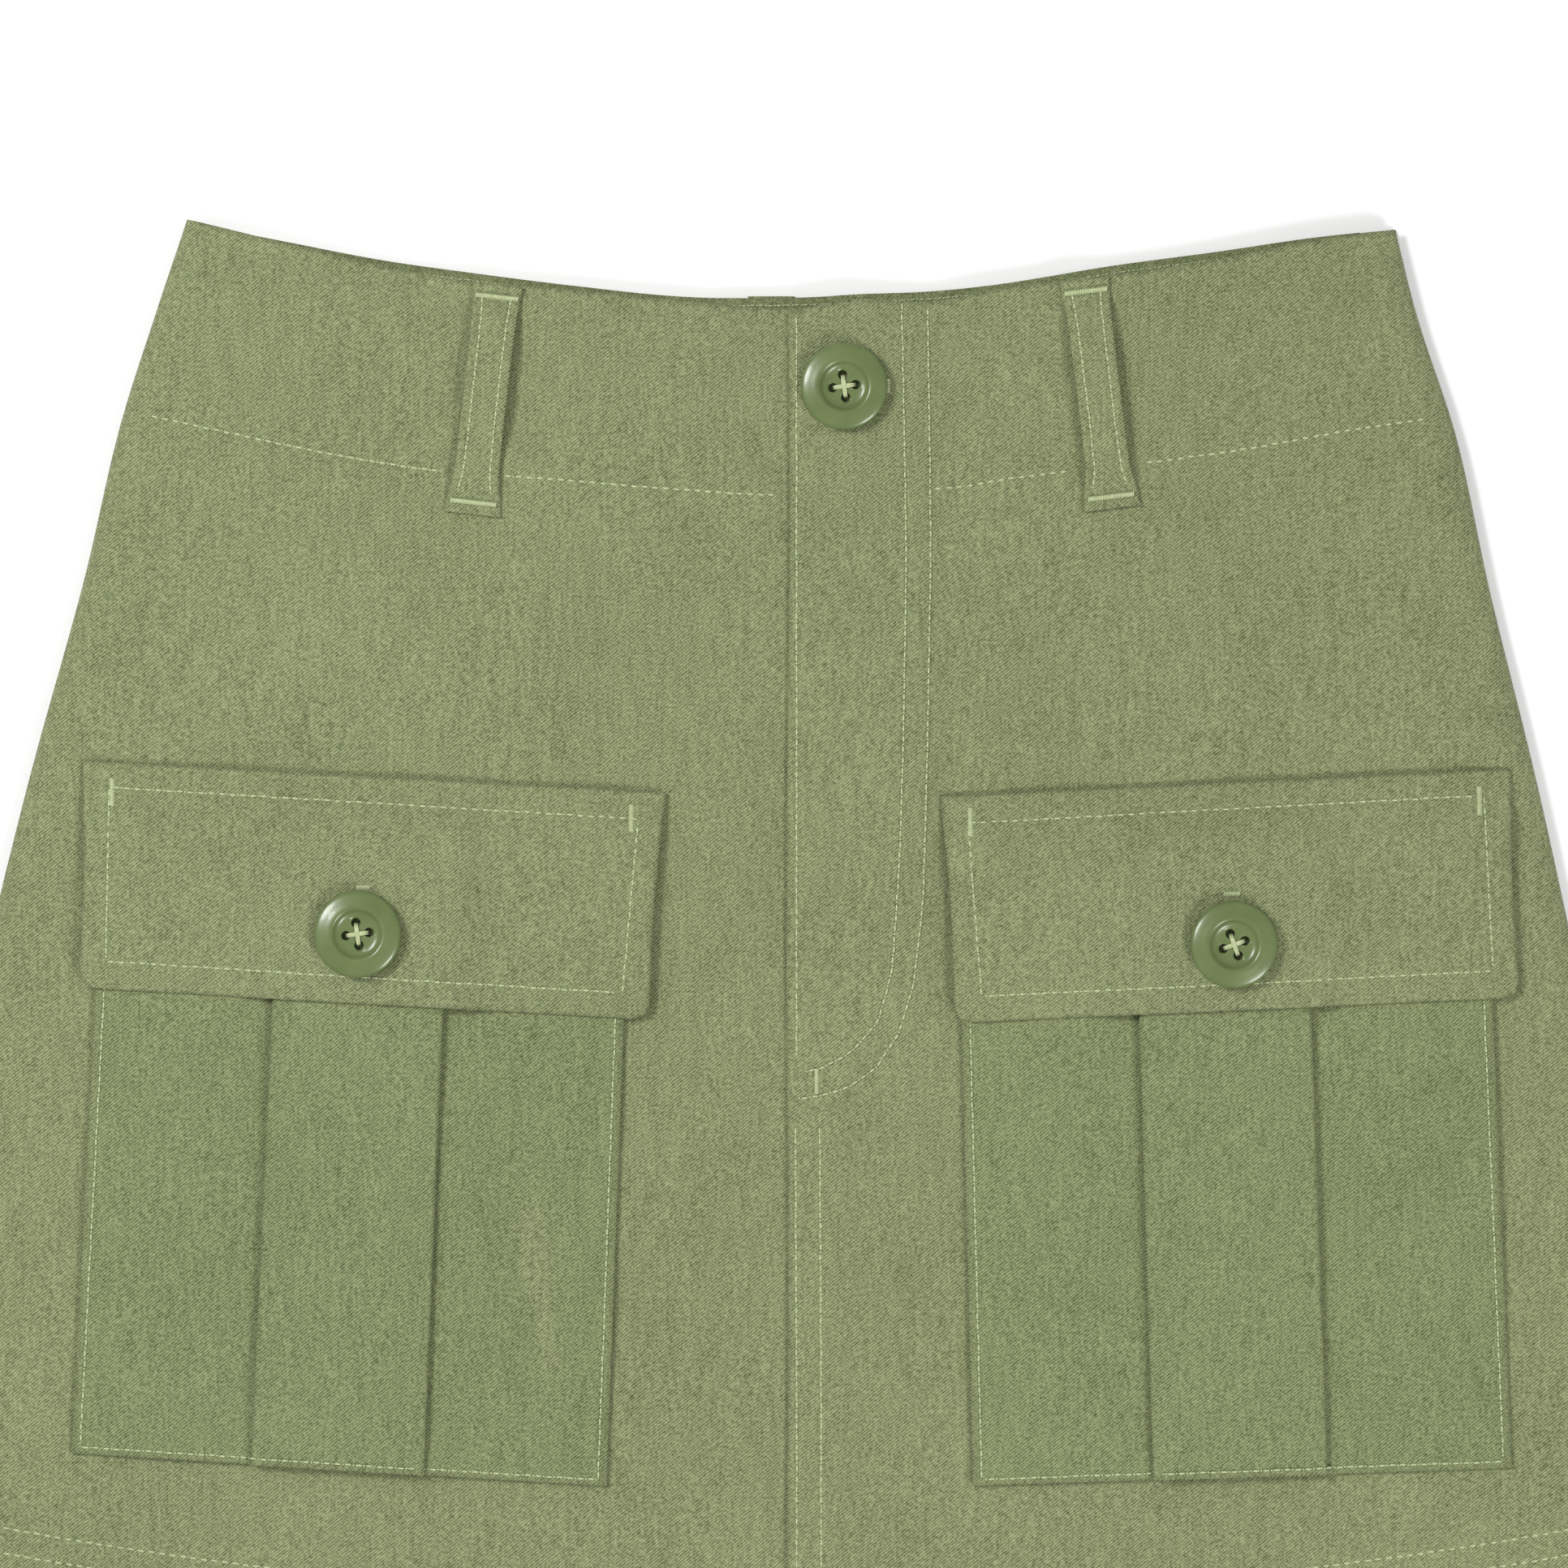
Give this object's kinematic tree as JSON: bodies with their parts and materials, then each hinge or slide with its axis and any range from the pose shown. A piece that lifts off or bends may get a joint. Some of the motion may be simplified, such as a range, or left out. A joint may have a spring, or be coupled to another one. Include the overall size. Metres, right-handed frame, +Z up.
{
  "type": "cargo mini skort laid flat",
  "caption": "Mini skort laid flat, face up: faced waist with belt loops, lapped fly, patch cargo pockets with box pleats, buttoned flaps and plain inner shorts.",
  "frame": {"origin": "middle of the laid garment's footprint, on the surface that it lies on", "axes": "+Z up out of the surface, +Y towards the waist, +X towards the wearer's left side"},
  "size_m": [0.465, 0.3604, 0.015],
  "materials": {
    "twill": "khaki-green cotton twill, matt",
    "twill_inside": "the same twill, inside face, matt",
    "shorts_cloth": "plain light cotton, matt",
    "button": "semi-gloss moulded plastic"
  },
  "bodies": {
    "root": {"back_panel": "twill", "back_facing": "twill_inside", "front_right": "twill", "front_left": "twill", "shorts_back_right": "shorts_cloth", "shorts_back_left": "shorts_cloth", "shorts_front_right": "shorts_cloth", "shorts_front_left": "shorts_cloth", "loop_front_right": "twill", "loop_front_left": "twill", "loop_centre_back": "twill", "pocket_right": "twill", "pocket_left": "twill", "flap_right": "twill", "flap_left": "twill", "button_waist": "button", "button_right": "button", "button_left": "button"}
  },
  "joints": []
}
